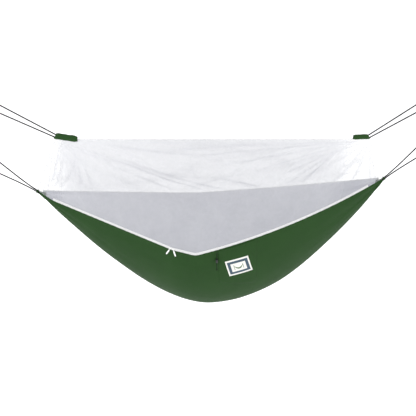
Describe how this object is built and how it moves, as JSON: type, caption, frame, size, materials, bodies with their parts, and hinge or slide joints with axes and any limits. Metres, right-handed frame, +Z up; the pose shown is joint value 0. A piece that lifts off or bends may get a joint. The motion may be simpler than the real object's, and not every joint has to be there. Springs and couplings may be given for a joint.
{
  "type": "camping hammock",
  "caption": "Hung camping hammock: deep fabric bed, zipped insect net on a ridge, gathered ends, rope loops, zip pulls and a drawcord pocket.",
  "frame": {"origin": "below the middle of the hung hammock, level with the lowest point of the bed", "axes": "+X along the bed from one gather to the other, -Y the zipped side, +Z up"},
  "size_m": [3.0092, 0.971, 1.5119],
  "materials": {
    "shell_ripstop": "woven ripstop, low sheen",
    "lining_fabric": "plain weave, soft",
    "net_mesh": "fine insect mesh",
    "zip_tape": "woven tape",
    "zip_coil": "moulded nylon coil",
    "zip_stop": "moulded",
    "slider_metal": "white enamel",
    "pull_plastic": "moulded, satin",
    "rope_cord": "braided cord",
    "label_border": "woven label",
    "label_panel": "printed label",
    "lock_plastic": "moulded",
    "spring_steel": "drawn wire"
  },
  "bodies": {
    "hammock": {"bed_shell": "shell_ripstop", "bed_lining": "lining_fabric", "far_rim_binding": "zip_tape", "zipper_lower_tape": "zip_tape", "zipper_coil": "zip_coil", "zipper_stop_left": "zip_stop", "zipper_stop_right": "zip_stop", "net_far_panel": "net_mesh", "net_near_panel": "net_mesh", "net_end_panel_left": "net_mesh", "net_end_panel_right": "net_mesh", "net_ridge_tape": "net_mesh", "gather_sleeve_left": "shell_ripstop", "gather_sleeve_right": "shell_ripstop", "gather_wrap_left": "rope_cord", "gather_wrap_right": "rope_cord", "ridge_sleeve_left": "shell_ripstop", "ridge_sleeve_right": "shell_ripstop", "bed_rope_left": "rope_cord", "bed_rope_right": "rope_cord", "net_rope_left": "rope_cord", "net_rope_right": "rope_cord", "storage_pocket": "shell_ripstop", "pocket_hem": "shell_ripstop", "label_patch": "label_border", "label_panel": "label_panel", "drawcord_eyelet": "shell_ripstop", "pocket_drawcord": "rope_cord", "drawcord_knot": "rope_cord"},
    "net_door": {"net_door_tape": "zip_tape"},
    "slider_left": {"slider_left": "slider_metal"},
    "slider_right": {"slider_right": "slider_metal"},
    "pull_left": {"pull_left": "pull_plastic"},
    "pull_right": {"pull_right": "pull_plastic"},
    "cord_lock": {"cord_lock_body": "lock_plastic", "cord_lock_spring": "spring_steel"},
    "cord_lock_button": {"cord_lock_button": "lock_plastic"}
  },
  "joints": [
    {"name": "net_door_swing", "type": "hinge", "parent": "hammock", "child": "net_door", "pos_m": [0, 0, 0.89515], "axis": [-0.9992, 0, -0.0408], "range_deg": [0, 60], "deforming": ["net_near_panel"]},
    {"name": "slider_left_run", "type": "slide", "parent": "hammock", "child": "slider_left", "axis": [-0.8973, 0.3949, 0.1971], "range_m": [0, 0.89]},
    {"name": "slider_right_run", "type": "slide", "parent": "hammock", "child": "slider_right", "axis": [0.9567, -0.2659, -0.1183], "range_m": [0, 0.123]},
    {"name": "pull_left_flip", "type": "hinge", "parent": "slider_left", "child": "pull_left", "pos_m": [-0.2596, -0.43977, 0.63309], "axis": [-0.8973, 0.3949, 0.1971], "range_deg": [0, 90]},
    {"name": "pull_right_flip", "type": "hinge", "parent": "slider_right", "child": "pull_right", "pos_m": [-0.24047, -0.44664, 0.62981], "axis": [-0.9567, 0.2659, 0.1183], "range_deg": [0, 90]},
    {"name": "cord_lock_run", "type": "slide", "parent": "hammock", "child": "cord_lock", "axis": [0, 0, -1], "range_m": [-0.046, 0.044]},
    {"name": "cord_lock_press", "type": "slide", "parent": "cord_lock", "child": "cord_lock_button", "axis": [0, 1, 0], "range_m": [0, 0.0025], "stiffness_N_per_m": 300, "springref_m": -0.002, "deforming": ["cord_lock_spring"]}
  ]
}
